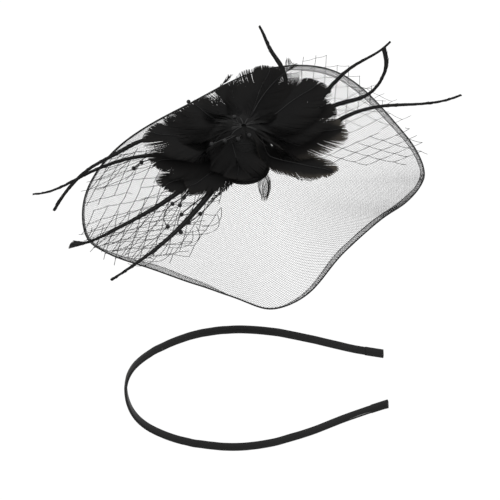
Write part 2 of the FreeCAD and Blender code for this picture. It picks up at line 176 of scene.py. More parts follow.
# %% Wrapped sockets
class Wire:
    """A shader socket that adds Math nodes when it is used in an expression."""

    def __init__(self, paint, socket):
        self.paint, self.socket = paint, socket

    def math(self, operation, *values):
        return self.paint.node("ShaderNodeMath", {"operation": operation},
                               dict(enumerate((self,) + values)))

    def __mul__(self, other):
        return self.math("MULTIPLY", other)

    def __add__(self, other):
        return self.math("ADD", other)

    def __sub__(self, other):
        return self.math("SUBTRACT", other)

    def __rsub__(self, other):
        return self.paint.node("ShaderNodeMath", {"operation": "SUBTRACT"}, {0: other, 1: self})

    def __pow__(self, other):
        return self.math("POWER", other)

    __rmul__, __radd__ = __mul__, __add__


class Paint:
    def __init__(self, name):
        self.material = bpy.data.materials.new(name)
        self.material.use_nodes = True
        self.tree = self.material.node_tree
        self.surface = self.tree.nodes["Principled BSDF"]

    def node(self, kind, settings=None, inputs=None, output=0):
        """A node with its settings, then its inputs, given back as its output."""
        made = self.tree.nodes.new(kind)
        for name, value in (settings or {}).items():
            if name == "stops":
                ramp = made.color_ramp.elements
                while len(ramp) < len(value):
                    ramp.new(0.5)
                for stop, (place, color) in zip(ramp, value):
                    stop.position, stop.color = place, color
            else:
                setattr(made, name, value)
        for name, value in (inputs or {}).items():
            self.put(made.inputs[name], value)
        return Wire(self, made.outputs[output])

    def put(self, socket, value):
        if isinstance(value, Wire):
            self.tree.links.new(value.socket, socket)
        else:
            socket.default_value = value

    def place(self):
        """Object coordinates, in metres."""
        return self.node("ShaderNodeTexCoord", output="Object")

    def noise(self, scale, detail=2.0, roughness=0.5, vector=None):
        return self.node("ShaderNodeTexNoise", {}, {
            "Vector": vector or self.place(), "Scale": scale, "Detail": detail,
            "Roughness": roughness}, "Fac")

    def attribute(self, name):
        return self.node("ShaderNodeAttribute", {"attribute_name": name}, output="Fac")

    def ramp(self, factor, *stops):
        """A colour from grey levels or colours at places along 0 to 1."""
        full = [(place, (c, c, c, 1) if isinstance(c, float) else (*c, 1)) for place, c in stops]
        return self.node("ShaderNodeValToRGB", {"stops": full}, {"Fac": factor})

    def bump(self, value, strength, distance):
        return self.node("ShaderNodeBump", {}, {"Height": value, "Strength": strength,
                                                "Distance": distance})

    def finish(self, **sockets):
        for name, value in sockets.items():
            self.put(self.surface.inputs[name.replace("_", " ")], value)
        return self.material

# %% [markdown]
# ## Finishes
# Everything is black, so the finishes differ in gloss and in grain. Feather barbs are matt and
# lift to a warm grey towards their thin tips, which is painted light shining through the barbs.
# Netting is soft cotton-like thread. Satin shows a fine weave and a broad sheen. Enamelled steel
# and beads are glossy.

# %% Feather and thread finishes
BLACK = (0.0045, 0.0045, 0.0046)


def feather_finish_with_painted_tip_glow(name, painted_glow_tip_color, tip_from, gloss):
    paint = Paint(name)
    tip = paint.attribute("tip")
    # The colour lifts towards the barb tips: painted light shining through the thin barb ends,
    # with a random mottle over it.
    tip_glow_and_mottle = tip + paint.noise(160.0, 3.0) * 0.3 - 0.15
    color = paint.ramp(tip_glow_and_mottle, (0.0, BLACK), (tip_from, (0.0065, 0.0062, 0.006)),
                       (1.0, painted_glow_tip_color))
    rough = 0.42 + paint.noise(420.0, 2.0) * 0.25
    return paint.finish(Base_Color=color, Roughness=rough, Specular_IOR_Level=gloss,
                        Sheen_Weight=0.01, Sheen_Roughness=0.4)


def shaft_finish(name, color):
    paint = Paint(name)
    grain = paint.noise(300.0, 2.0)
    tint = paint.ramp(grain, (0.3, tuple(0.7 * c for c in color)), (0.7, color))
    return paint.finish(Base_Color=tint, Roughness=0.3 + grain * 0.2, Specular_IOR_Level=0.15)


def thread_finish(name, color, rough=0.7):
    paint = Paint(name)
    grain = paint.noise(1500.0, 2.0)
    tint = paint.ramp(grain, (0.3, tuple(0.6 * c for c in color)), (0.75, color))
    return paint.finish(Base_Color=tint, Roughness=rough + grain * 0.15,
                        Specular_IOR_Level=0.2)


broad_feather_paint = feather_finish_with_painted_tip_glow("broad_feather_vane", (0.012, 0.011, 0.010), 0.8, 0.06)
# These tips lift the most: painted light shining through the thin barbs.
glow_tip_feather_paint = feather_finish_with_painted_tip_glow("thin_feather_vane_painted_glow", (0.060, 0.053, 0.044), 0.45, 0.06)
quill_paint = feather_finish_with_painted_tip_glow("quill_vane", (0.008, 0.008, 0.008), 0.85, 0.08)
shaft_paint = shaft_finish("dyed_shaft", (0.016, 0.016, 0.016))
mesh_paint = thread_finish("brim_thread", (0.030, 0.030, 0.031))
hem_paint = thread_finish("hem_thread", (0.014, 0.014, 0.0145))
net_paint = thread_finish("veiling_thread", (0.012, 0.012, 0.012))
binding_paint = thread_finish("binding_thread", (0.008, 0.008, 0.008))

# %% [markdown]
# ## Pieces made of thread
# A thread is a curve with a round section. Many threads go into one curve object as separate
# splines, which is turned into a mesh at the end, with its ends closed.

# %% Threads
def piece_of(mesh, name, paint, body, replaced=()):
    """Puts a mesh in the scene as a finished piece."""
    mesh.name = name
    mesh.materials.clear()
    mesh.materials.append(paint)
    piece = bpy.data.objects.new(name, mesh)
    bpy.context.scene.collection.objects.link(piece)
    if body:
        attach(piece, body)
    if replaced:
        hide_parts(*replaced)
    print(name, len(mesh.polygons), "faces")
    return piece


def thread_mesh(paths, radius, sides=4):
    """A mesh of one closed tube for each path. A path is a list of points, or of points and
    the share of the radius there."""
    curve = bpy.data.curves.new("threads", "CURVE")
    curve.dimensions = "3D"
    curve.bevel_depth = radius
    curve.bevel_resolution = sides // 2 - 2
    curve.use_fill_caps = True
    for path in paths:
        spline = curve.splines.new("POLY")
        spline.points.add(len(path) - 1)
        for k, point in enumerate(path):
            spline.points[k].co = (*point[:3], 1)
            spline.points[k].radius = point[3] if len(point) > 3 else 1.0
    holder = bpy.data.objects.new("threads", curve)
    mesh = bpy.data.meshes.new_from_object(holder)
    bpy.data.objects.remove(holder)
    bpy.data.curves.remove(curve)
    return mesh


def joined(meshes):
    """One mesh out of several."""
    holders = []
    for mesh in meshes:
        holder = bpy.data.objects.new("part", mesh)
        bpy.context.scene.collection.objects.link(holder)
        holders.append(holder)
    bpy.ops.object.select_all(action="DESELECT")
    for holder in holders:
        holder.select_set(True)
    bpy.context.view_layer.objects.active = holders[0]
    bpy.ops.object.join()
    mesh = holders[0].data
    bpy.data.objects.remove(holders[0])
    return mesh


def length_of(paths):
    return sum(math.dist(a[:3], b[:3]) for path in paths for a, b in zip(path, path[1:]))

# %% [markdown]
# ## The brim's mesh
# The brim is one round of open mesh cut on the bias: two sets of threads that cross at right
# angles, each running slantwise over the brim. Every thread here is a real tube that follows the
# brim's waves. An image of a mesh would be cheaper, but it has no edge and no depth.

# %% Bias mesh
mesh_pitch = 1.2 * mm
mesh_thread = 0.15 * mm
thread_step = 5.5 * mm
sheet_middle = 0.4 * mm       # under the frame's upper face
inset = 0.4 * mm


def chord(angle, offset):
    """Where a straight line over the brim enters and leaves its outline."""
    way = np.array((math.cos(angle), math.sin(angle)))
    start = np.array((-way[1], way[0])) * offset
    half = np.array(brim_half) - inset
    u, v = way / half, start / half
    a, b, c = u @ u, u @ v, v @ v - 1
    if b * b <= a * c:
        return None
    root = math.sqrt(b * b - a * c)
    ends = [start + way * t for t in ((-b - root) / a, (-b + root) / a)]
    return [end + np.array(brim_middle) for end in ends]


def mesh_threads(angle, lift):
    paths = []
    reach = max(brim_half)
    for k in range(int(-reach / mesh_pitch), int(reach / mesh_pitch) + 1):
        ends = chord(angle, (k + 0.5) * mesh_pitch)
        if ends is None:
            continue
        count = max(2, round(np.linalg.norm(ends[1] - ends[0]) / thread_step) + 1)
        path = []
        for share in np.linspace(0, 1, count):
            x, y = ends[0] + (ends[1] - ends[0]) * share
            path.append((x, y, brim_top(x, y) - sheet_middle + lift))
        paths.append(path)
    return paths


bias = math.radians(42)
mesh_paths = (mesh_threads(bias, mesh_thread / 2)
              + mesh_threads(bias + math.pi / 2, -mesh_thread / 2))
brim_piece = piece_of(thread_mesh(mesh_paths, mesh_thread / 2), "brim_bias_mesh", mesh_paint,
                      "fascinator", ["brim_mesh"])
print("thread in the brim, m:", round(length_of(mesh_paths), 1))

# %% [markdown]
# ## The hem
# The edge of the mesh is folded under twice round a covered wire, so the threads lie several
# deep there and look nearly solid. The hem is made of slanting threads in two layers, the wire
# at the outer edge, the fold at the inner edge and a line of machine stitches between them.

# %% Folded hem
hem_width = 5.5 * mm
rim_steps = 360


def on_rim(turn, in_from_edge, lift):
    """A place on the brim, in from its edge at a turn round it."""
    x = brim_middle[0] + (brim_half[0] - in_from_edge) * math.cos(turn)
    y = brim_middle[1] + (brim_half[1] - in_from_edge) * math.sin(turn)
    return x, y, brim_top(x, y) - sheet_middle + lift


def rim_line(in_from_edge, lift):
    return [on_rim(2 * math.pi * k / rim_steps, in_from_edge, lift) for k in range(rim_steps + 1)]


# Share of the hem's full width at degrees round the brim: it was turned unevenly.
hem_shares = [(-180, 0.25), (-150, 0.3), (-138, 0.6), (-122, 1.0), (-108, 0.8), (-98, 0.25),
              (-80, 0.25), (-68, 0.7), (-60, 1.0), (-30, 1.0), (-18, 0.6), (0, 0.4), (20, 0.5),
              (45, 0.7), (70, 0.7), (90, 0.4), (120, 0.25), (180, 0.25)]


def hem_at(turn):
    degrees = (math.degrees(turn) + 180) % 360 - 180
    return hem_width * np.interp(degrees, *zip(*hem_shares))


hem_pitch = 1.35 * mm
hem_round = math.pi * (brim_half[0] + brim_half[1])
slants = int(hem_round / hem_pitch)
hem_paths = []
for layer in (-0.55 * mm, -0.2 * mm):
    for way in (-1, 1):
        for k in range(slants):
            turn = 2 * math.pi * (k + (0.5 if layer < -0.4 * mm else 0)) / slants
            wide = hem_at(turn)
            shift = way * wide / max(brim_half)
            hem_paths.append([on_rim(turn + shift * share, 0.2 * mm + wide * share, layer)
                              for share in (0.0, 0.5, 1.0)])
hem_thread = 0.15 * mm


def fold_line(inset):
    return [on_rim(2 * math.pi * k / rim_steps, hem_at(2 * math.pi * k / rim_steps) - inset,
                   -0.35 * mm) for k in range(rim_steps + 1)]


fold_paths = [fold_line(0.0), fold_line(0.3 * mm), rim_line(0.9 * mm, -0.35 * mm)]
hem_mesh = joined([thread_mesh(hem_paths, hem_thread / 2), thread_mesh(fold_paths, 0.09 * mm)])
piece_of(hem_mesh, "brim_folded_hem", hem_paint, "fascinator", ["brim_hem"])

wire_radius = 0.38 * mm
piece_of(thread_mesh([rim_line(wire_radius, -0.1 * mm)], wire_radius, 8),
         "brim_covered_wire", hem_paint, "fascinator", ["brim_wire"])

# %% [markdown]
# ## Veiling
# Veiling is a knotted net with open diamonds. A lattice of knots is laid over each veil's plan.
# Each side of a diamond is a thread that sags a little, each crossing has a knot, and threads
# that the scissors met end short past the last knot.

# %% Knotted net
net_thread = 0.34 * mm


def knot(at, size):
    """Eight faces round a point, as [points, faces]."""
    x, y, z = at
    points = [(x + size, y, z), (x - size, y, z), (x, y + size, z), (x, y - size, z),
              (x, y, z + size), (x, y, z - size)]
    faces = [(0, 2, 4), (2, 1, 4), (1, 3, 4), (3, 0, 4), (2, 0, 5), (1, 2, 5), (3, 1, 5),
             (0, 3, 5)]
    return points, faces


def knots_mesh(places, size):
    points, faces = [], []
    for place in places:
        p, f = knot(place, size)
        faces += [tuple(i + len(points) for i in face) for face in f]
        points += p
    mesh = bpy.data.meshes.new("knots")
    mesh.from_pydata(points, [], faces)
    return mesh


def over_edge(x, y):
    """How far out (x, y) is over the brim: 1 at its edge."""
    return math.hypot((x - brim_middle[0]) / brim_half[0], (y - brim_middle[1]) / brim_half[1])


def net(name, node, lattices, seed, past=0.0, loops=(), wander=0.3 * mm, sag=0.4 * mm,
        stub_chance=0.75, spill=9.0, thread=net_thread):
    """Knotted veiling over a veil's node. Each lattice is its two cell sides in mm, a shift,
    and the first and last degrees about the flower that it covers."""
    rng = random.Random(seed)
    tree = tree_over(node)

    def lie(x, y):
        """The veil's height over (x, y), or None where it doesn't reach."""
        z = height(tree, x, y)
        if over_edge(x, y) > spill:
            return None
        if z is None and past:
            guess = tree.find_nearest(Vector((x, y, brim_top(x, y))))[0]
            z = guess.z if math.hypot(guess.x - x, guess.y - y) < past else None
        return z

    low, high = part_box(node)
    middle = np.array(((low[0] + high[0]) / 2, (low[1] + high[1]) / 2))
    paths, knots = [], []
    for layer, (a, b, shift, first, last) in enumerate(lattices):
        a, b, shift = np.array(a) * mm, np.array(b) * mm, np.array(shift) * mm
        grid = {}
        for i in range(-22, 23):
            for j in range(-22, 23):
                x, y = middle + shift + a * i + b * j
                x += rng.gauss(0, wander)
                y += rng.gauss(0, wander)
                turn = math.degrees(math.atan2(y, x)) % 360
                covered = (first <= turn <= last or first <= turn - 360) \
                    and math.hypot(x, y) > 9 * mm
                z = lie(x, y) if covered else None
                lift = layer * 0.8 * mm + rng.uniform(0, 2 * wander)
                grid[i, j] = (x, y, z, lift)
        for (i, j), start in grid.items():
            for step in ((1, 0), (0, 1)):
                end = grid.get((i + step[0], j + step[1]))
                if end is None or start[2] is None and end[2] is None:
                    continue
                a_end, b_end = (start, end) if start[2] is not None else (end, start)
                cut = b_end[2] is None
                if cut and rng.random() > stub_chance:
                    continue
                b_z = a_end[2] + a_end[3] if cut else b_end[2] + b_end[3]
                span = rng.uniform(0.2, 0.7) if cut else 1.0
                path = []
                for share in (0.0, 0.33, 0.67, 1.0):
                    t = share * span
                    path.append((a_end[0] + (b_end[0] - a_end[0]) * t,
                                 a_end[1] + (b_end[1] - a_end[1]) * t,
                                 a_end[2] + a_end[3] + (b_z - a_end[2] - a_end[3]) * t
                                 - sag * 4 * t * (1 - t)))
                paths.append(path)
            if start[2] is not None:
                knots.append((start[0], start[1], start[2] + start[3]))
    for corners in loops:
        p, q, r = (np.array(corner) * mm for corner in corners)
        near = tree.find_nearest(Vector((*q, brim_top(*q))))[0].z
        path = []
        for t in np.linspace(0, 1, 9):
            x, y = p * (1 - t) ** 2 + q * 2 * t * (1 - t) * 1.0 + r * t * t
            path.append((x, y, near + 0.6 * mm))
        paths.append(path)
    mesh = joined([thread_mesh(paths, thread / 2), knots_mesh(knots, thread * 1.15)])
    print("thread in it, m:", round(length_of(paths), 2), "knots", len(knots))
    return piece_of(mesh, name, net_paint, "fascinator", [node])


net("netting_upper_left", "veil_upper_left",
    [((6.9, -0.8), (2.7, 9.6), (1, 2), 150, 200), ((13, 3), (4, 6.5), (3, 0), 158, 186)], seed=3,
    spill=0.97)
net("netting_lower_left", "veil_lower_left",
    [((7.2, -0.6), (3.4, 9.4), (0, 0), 190, 253), ((7.0, 1.6), (1.2, 9.0), (3, 4), 205, 250),
     ((8.0, -1.4), (5.2, 8.2), (5, 1), 214, 243)],
    seed=5, stub_chance=0.3, past=7 * mm, spill=1.03,
    loops=[((-14, -46), (-9, -62), (-27, -62)), ((-12, -40), (-10, -56), (-22, -55)),
           ((-27, -63), (-24, -78), (-39, -76)), ((-25, -58), (-19, -72), (-33, -71)),
           ((-37, -79), (-40, -93), (-52, -88)), ((-45, -84), (-50, -96), (-60, -90))])
net("netting_right", "veil_right", [((7.6, 5.3), (6.7, -3.8), (0, 1), -60, 420)], seed=7,
    wander=0.15 * mm, stub_chance=0.25)
net("netting_upper_right", "veil_upper_right",
    [((6.5, 0.3), (0.5, 7.6), (0, 0), 28, 80), ((7.6, 5.3), (6.7, -3.4), (2, 0), 10, 40)],
    seed=9, past=6 * mm, spill=1.06, thread=0.26 * mm, stub_chance=0.4)

# %% [markdown]
# ## Feathers
# A feather is a shaft with two rows of barbs. Each barb here is a narrow flat ribbon that leaves
# the shaft at a slant and bends towards the tip. Neighbours overlap, so the vane is closed near
# the shaft, and they draw together in clumps towards the edge, which gives the notches and
# splits of a worn feather. A surface with a picture of barbs could not fray.

# %% Barbs and shafts
def frame_along(line):
    """The direction, the sideways direction and the normal at each place of a line."""
    way = np.gradient(line, axis=0)
    way /= np.linalg.norm(way, axis=1)[:, None]
    side = np.cross((0, 0, 1), way)
    side /= np.linalg.norm(side, axis=1)[:, None]
    return way, side, np.cross(way, side)


def barb_vane(line, widths, step, barb_width, slant, cup=0.0, clump=0.4, clump_size=5,
              fray=0.05, start=0.0, end=1.0, segments=5, seed=1, stray=0.0):
    """A mesh of flat barbs on both sides of a line. Each ends on the vane's outline, further
    along than its root, and "tip" says how far out each of its points lies."""
    rng = np.random.default_rng(seed)
    line, widths, run = resample(line, widths, 120)
    way, side, up = frame_along(line)
    shares = np.linspace(0, 1, 120)

    def at(share, table):
        return np.array([np.interp(share, shares, table[:, k]) for k in range(3)])

    points, faces, tips = [], [], []
    count = int(run * (end - start) / step)
    for hand in (-1, 1):
        ends, roots = [], []
        for k in range(count):
            share = start + (end - start) * k / count
            width = np.interp(share, shares, widths)
            ahead = width / math.tan(slant) / run
            far = min(1.0, share + ahead)
            out = np.interp(far, shares, widths) * (1 + rng.normal(0, fray))
            round_it = max(0.0, share + ahead - 1.0) / max(ahead, 1e-6) * math.pi / 2
            out += stray * width * (rng.random() < 0.02)
            end_point = at(far, line) + at(far, side) * hand * out * math.cos(round_it) \
                + at(far, way) * out * 0.35 * math.sin(round_it)
            end_point = end_point + at(far, up) * cup * out
            ends.append(end_point)
            roots.append((share, far, out))
        ends = np.array(ends)
        drawn = ends.copy()
        k = 0
        while k < count:
            size = int(rng.integers(3, 3 + clump_size))
            group = slice(k, min(count, k + size))
            drawn[group] += (ends[group].mean(axis=0) - ends[group]) * clump
            drawn[group] += rng.normal(0, fray * 0.6, 3) * np.linalg.norm(
                ends[group] - line[0], axis=1).mean() * 0.12
            k += size
        for k, (share, far, out) in enumerate(roots):
            root = at(share, line)
            middle = at(share + (far - share) * 0.4, line)
            reach = abs(float(np.dot(drawn[k] - root, at(share, side))))
            bend = middle + at(share, side) * hand * reach * 0.62 \
                + at(share, up) * cup * out * 0.1
            base = len(points)
            for j in range(segments + 1):
                t = j / segments
                place = root * (1 - t) ** 2 + bend * 2 * t * (1 - t) + drawn[k] * t * t
                along = (bend - root) * (1 - t) + (drawn[k] - bend) * t
                across = np.cross(at(share, up), along)
                across /= max(np.linalg.norm(across), 1e-9)
                lift = at(share, up) * rng.normal(0, 0.03) * mm * t
                thin = barb_width / 2 * (1 - 0.8 * t ** 4)
                points += [place - across * thin + lift, place + across * thin + lift]
                tips += [t * (0.45 + 0.55 * share)] * 2
                if j:
                    n = base + 2 * j
                    faces.append((n - 2, n - 1, n + 1, n))
    mesh = bpy.data.meshes.new("vane")
    mesh.from_pydata([tuple(p) for p in points], [], faces)
    mesh.attributes.new("tip", "FLOAT", "POINT").data.foreach_set("value", tips)
    return mesh


def shaft_path(line, thick_from, thick_to, lift=0.15 * mm):
    """A tapering thread along a line."""
    count = len(line)
    return [(p[0], p[1], p[2] + lift, thick_from + (thick_to - thick_from) * k / (count - 1))
            for k, p in enumerate(line)]


def feather(name, node, vane_paint, slot, step, barb_width, slant, shaft=0.35 * mm, bare=None,
            arch=None, wide=1.0, blunt=False, stations=14, shaft_to=0.3, kept=1.0, **look):
    """A feather over a frame node: its vane and its shaft. An arch is a list of places, as
    shares of the way from the axis to the node's root and heights, that its root comes over."""
    line, widths = spine_of(node, stations)
    line, widths, _ = resample(line, widths, 60)
    line, widths = line[:int(60 * kept)], widths[:int(60 * kept)] * wide
    if blunt:
        share = np.linspace(0, 1, len(line))
        widths = widths.max() * np.minimum(1, (share + 0.14) / 0.5) ** 0.6 \
            * np.sqrt(1 - 0.75 * share ** 6)
    if arch:
        out = np.hypot(*line[0][:2])
        outer = np.hypot(line[:, 0], line[:, 1]) > arch[-1][0] + 4 * mm
        unit = np.array((line[0][0] / out, line[0][1] / out, 0))
        over = [unit * r + np.array((0, 0, z)) for r, z in arch]
        line = np.vstack([over, line[outer]])
        narrow = np.linspace(0.25, 0.8, len(over)) * widths[outer][0]
        widths = np.concatenate([narrow, widths[outer]])
        line, widths, _ = resample(line, widths, 30)
    line = softened(line, 2)
    vane = barb_vane(line, widths, step, barb_width, slant, **look)
    vane.materials.append(vane_paint)
    fine, _, _ = resample(line, widths, 24)
    stem = thread_mesh([shaft_path(fine, 1.0, shaft_to)], shaft, 6)
    stem.materials.append(bare or shaft_paint)
    mesh = joined([vane, stem])
    mesh.name = name
    piece = bpy.data.objects.new(name, mesh)
    bpy.context.scene.collection.objects.link(piece)
    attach(piece, "fascinator")
    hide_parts(node)
    print(name, len(mesh.polygons), "faces")
    return piece

# %% The broad feathers of the flower
core_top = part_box("rosette_core")[1].z
core_arch = [(1.5 * mm, core_top + 1.2 * mm), (5.5 * mm, core_top + 1.4 * mm),
             (9.5 * mm, core_top - 1.0 * mm)]
petal_looks = {
    # The two right petals take the lightest tips, painted light shining through their barbs.
    "petal_right_low": dict(vane_paint=glow_tip_feather_paint, clump=0.35, wide=0.8),
    "petal_right": dict(vane_paint=glow_tip_feather_paint, clump=0.35, wide=1.4, kept=0.96),
    "petal_right_upper": dict(cup=-0.12, wide=1.25),
    "petal_right_back": dict(cup=-0.12, wide=1.25, kept=0.97),
    "petal_left_back": dict(wide=1.5),
    "petal_left_upper": dict(wide=1.5),
    "petal_left": dict(wide=1.3),
    "petal_left_low": dict(wide=1.3),
    "petal_back_left": dict(wide=1.5),
    "petal_back": dict(wide=1.3),
    "petal_back_right": dict(kept=0.97, wide=1.25),
    "petal_front": dict(fray=0.01, clump=0.1, wide=1.05, kept=0.88),
    "petal_back_curled": dict(fray=0.25, clump=0.7, wide=1.0, step=1.1 * mm,
                              barb_width=0.4 * mm),
}
for count, node in enumerate(sorted(n for n in node_of if n.startswith("petal_"))):
    look = {"vane_paint": broad_feather_paint, "cup": -0.08, "fray": 0.022, "clump": 0.22,
            "wide": 1.15, "step": 0.26 * mm, "barb_width": 0.62 * mm,
            **petal_looks.get(node, {})}
    feather("feather_" + node[6:], node, slot="broad_feather", slant=math.radians(48),
            arch=core_arch, blunt=True, seed=40 + count, segments=5, **look)

# %% The long quills
for count, node in enumerate(sorted(n for n in node_of if n.startswith("quill_"))):
    feather("long_" + node, node, quill_paint, "quill_feather", step=0.3 * mm,
            barb_width=0.55 * mm, slant=math.radians(16), shaft=0.3 * mm, clump=0.06,
            clump_size=5, fray=0.008, seed=70 + count, segments=3, wide=1.7, stray=0.3,
            start=0.06, stations=26)

# %% The small feathers
small_looks = {
    "speckled_tuft": dict(step=0.3 * mm, barb_width=0.24 * mm, slant=math.radians(40),
                          fray=0.25, clump=0.7, clump_size=4, wide=1.1),
    "downy_feather": dict(step=0.42 * mm, barb_width=0.1 * mm, slant=math.radians(10),
                          fray=0.3, clump=0.6, clump_size=3, wide=2.0),
    "bristle_feather": dict(step=0.4 * mm, barb_width=0.22 * mm, slant=math.radians(35),
                            fray=0.35, clump=0.5, clump_size=3, wide=1.2),
    "curled_barb": dict(step=0.3 * mm, barb_width=0.3 * mm, slant=math.radians(12),
                        fray=0.2, clump=0.5),
}
for count, (node, look) in enumerate(small_looks.items()):
    feather("small_" + node, node, glow_tip_feather_paint if node == "downy_feather" else quill_paint,
            "small_feather", shaft=0.18 * mm, seed=90 + count, segments=4, **look)

# %% [markdown]
# ## Beads, pads and binding
# The beads are small glass rounds on stiff thread. The frame says where each is, so one sphere
# is modelled and copied. The felt pads are cut discs with a soft edge, sewn together through
# the mesh with stitches over their edge. The stub that holds the feathers is bound with thread.

# %% Beads
def islands_of(node):
    """The middle and the size of each separate solid in a node."""
    points, triangles = corners_of(node)
    keys = {}
    merged = np.array([keys.setdefault(tuple(np.round(p, 7)), len(keys)) for p in points])
    root = list(range(len(keys)))

    def find(k):
        while root[k] != k:
            root[k] = root[root[k]]
            k = root[k]
        return k

    for a, b, c in merged[triangles]:
        root[find(a)] = find(b)
        root[find(b)] = find(c)
    groups = {}
    for k, point in zip(merged, points):
        groups.setdefault(find(k), []).append(point)
    boxes = [(np.min(g, axis=0), np.max(g, axis=0)) for g in groups.values()]
    return [((low + high) / 2, high - low) for low, high in boxes]


def glossy_finish(name, color, rough, coat=0.0):
    paint = Paint(name)
    grain = paint.noise(900.0, 3.0)
    tint = paint.ramp(grain, (0.35, tuple(0.8 * c for c in color)), (0.7, color))
    return paint.finish(Base_Color=tint, Roughness=rough + grain * 0.12, Coat_Weight=coat,
                        Specular_IOR_Level=0.25)


bead_paint = glossy_finish("bead_glass", (0.004, 0.004, 0.0045), 0.3)
bead_wire_paint = glossy_finish("bead_wire", (0.012, 0.012, 0.012), 0.3)
for node in sorted(n for n in node_of if n.startswith("beads_")):
    parts = []
    for middle, size in islands_of(node):
        bpy.ops.mesh.primitive_uv_sphere_add(segments=20, ring_count=12, radius=size[0] / 2,
                                             location=middle)
        bpy.ops.object.transform_apply(location=True)
        bpy.ops.object.shade_smooth()
        sphere = bpy.context.object
        parts.append(sphere.data)
        bpy.data.objects.remove(sphere)
    piece_of(joined(parts), "round_" + node, bead_paint, "fascinator", [node])

# %% Felt pads
felt = Paint("pressed_felt")
fibre = felt.noise(1400.0, 4.0, 0.7)
felt_paint = felt.finish(
    Base_Color=felt.ramp(fibre, (0.3, (0.006, 0.006, 0.006)), (0.75, (0.022, 0.021, 0.021))),
    Roughness=0.95, Specular_IOR_Level=0.1, Normal=felt.bump(fibre, 0.6, 0.25 * mm))
rng = random.Random(11)
hair_count, stitch_count = 260, 34
stitch_reach = 1.8 * mm         # how far in from the edge a stitch starts
for node, way in (("lower_felt_pad", -1), ("upper_felt_pad", 1)):
    low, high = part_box(node)
    radius, thick = (high.x - low.x) / 2, high.z - low.z
    bpy.ops.object.select_all(action="DESELECT")
    bpy.ops.mesh.primitive_cylinder_add(vertices=96, radius=radius, depth=thick,
                                        location=(0, 0, (low.z + high.z) / 2))
    bpy.ops.object.transform_apply(location=True)
    pad = bpy.context.object
    bevel = pad.modifiers.new("soft_edge", "BEVEL")
    bevel.width, bevel.segments, bevel.limit_method = 0.45 * mm, 3, "ANGLE"
    bpy.ops.object.modifier_apply(modifier="soft_edge")
    bpy.ops.object.shade_smooth_by_angle(angle=math.radians(50))
    hairs = []
    for k in range(hair_count):
        turn, z = rng.uniform(0, 2 * math.pi), rng.uniform(low.z, high.z)
        out = radius - 0.2 * mm
        hair = []
        for step in range(3):
            hair.append((out * math.cos(turn), out * math.sin(turn), z))
            out += rng.uniform(0.1, 0.5) * mm
            turn += rng.uniform(-0.03, 0.03)
            z += rng.uniform(-0.2, 0.2) * mm
        hairs.append(hair)
    stitches = []
    for k in range(stitch_count):
        turn = 2 * math.pi * k / stitch_count
        stitch = []
        for share in np.linspace(0, 1, 6):
            out = radius - stitch_reach * abs(1 - share) ** 0.5 + 0.12 * mm
            z = (high.z if way > 0 else low.z) + way * 0.12 * mm * (1 - share ** 3)
            z -= way * thick * max(0.0, share - 0.6) * 2.5
            lean = turn + 0.05 * share
            stitch.append((out * math.cos(lean), out * math.sin(lean), z))
        stitches.append(stitch)
    pad_mesh = pad.data
    bpy.data.objects.remove(pad)
    mesh = joined([pad_mesh, thread_mesh(hairs, 0.03 * mm), thread_mesh(stitches, 0.16 * mm)])
    piece_of(mesh, "sewn_" + node, felt_paint, "fascinator", [node])

# %% Binding round the stub
low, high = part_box("rosette_core")
core_radius = (high.x - low.x) / 2
turns, per_turn = 26, 28
cone_height = 3 * mm            # of the stub's top, which is left unwound
winding = []
for k in range(turns * per_turn + 1):
    turn = 2 * math.pi * k / per_turn
    z = low.z + (high.z - low.z - cone_height) * k / (turns * per_turn)
    out = core_radius + (0.25 + 0.1 * math.sin(turn * 3.7)) * mm
    winding.append((out * math.cos(turn), out * math.sin(turn), z))
piece_of(thread_mesh([winding], 0.42 * mm, 6), "core_binding", binding_paint, "fascinator")

# %% [markdown]
# ## The clip and the headband
# The clip is stamped steel under black enamel, so its nodes stay and take a gloss with a little
# unevenness. Its spring is a wound wire. The headband is a steel strip in a satin sleeve, whose
# long seam lies on the inside.

# %% Finishes on the frame's own nodes
def dress(paint, *nodes):
    for node in nodes:
        holder = node_of[node]
        if not holder.material_slots:
            holder.data.materials.append(paint)
        for slot in holder.material_slots:
            slot.material = paint


enamel_paint = glossy_finish("black_enamel", (0.012, 0.012, 0.013), 0.18, 0.3)
steel = Paint("spring_steel")
streak = steel.noise(700.0, 3.0)
steel_paint = steel.finish(Base_Color=steel.ramp(streak, (0.3, 0.20), (0.7, 0.34)), Metallic=1.0,
                           Roughness=0.28 + streak * 0.15)
dress(enamel_paint, "clip_base", "clip_jaw")
dress(steel_paint, "clip_pin", "headband_core")
dress(binding_paint, "rosette_core", "clip_stitches")
dress(bead_wire_paint, *[n for n in node_of if n.startswith("bead_wires_")])

# %% The clip's spring
pin_low, pin_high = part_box("clip_pin")
spring_low, spring_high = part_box("clip_spring")
pin = ((pin_low.y + pin_high.y) / 2, (pin_low.z + pin_high.z) / 2)
wire = 0.25 * mm
coil_radius = (pin_high.z - pin_low.z) / 2 + wire + 0.08 * mm
half = 1.25 * mm
coil = [(-half, pin[0] + coil_radius, spring_high.z)]
for k in range(4 * 20 + 1):
    turn = 2 * math.pi * k / 20
    coil.append((-half + 2 * half * k / 80, pin[0] + coil_radius * math.cos(turn),
                 pin[1] - coil_radius * math.sin(turn)))
coil.append((half, spring_high.y - 0.3 * mm, spring_low.z + wire))
spring = piece_of(thread_mesh([coil], wire, 8), "clip_spring_wire", steel_paint, None,
                  ["clip_spring"])
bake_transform(spring)

